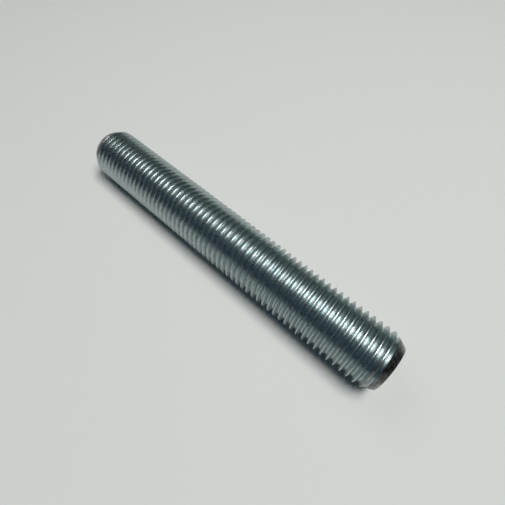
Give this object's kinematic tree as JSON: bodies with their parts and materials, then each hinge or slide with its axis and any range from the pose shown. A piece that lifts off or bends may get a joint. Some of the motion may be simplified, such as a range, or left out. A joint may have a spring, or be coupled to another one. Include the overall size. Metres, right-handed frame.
{
  "type": "threaded rod",
  "caption": "Short stud of fully threaded steel rod, right-hand coarse metric thread from end to end, both ends chamfered.",
  "frame": {"origin": "centre of the lower end face", "axes": "+Z along the rod's axis, from the lower end to the upper end"},
  "size_m": [0.022, 0.022, 0.146],
  "materials": {
    "plated_steel": "bright zinc plating, turned end faces and chamfers"
  },
  "bodies": {
    "root": {"threaded_rod": "plated_steel"}
  },
  "joints": []
}
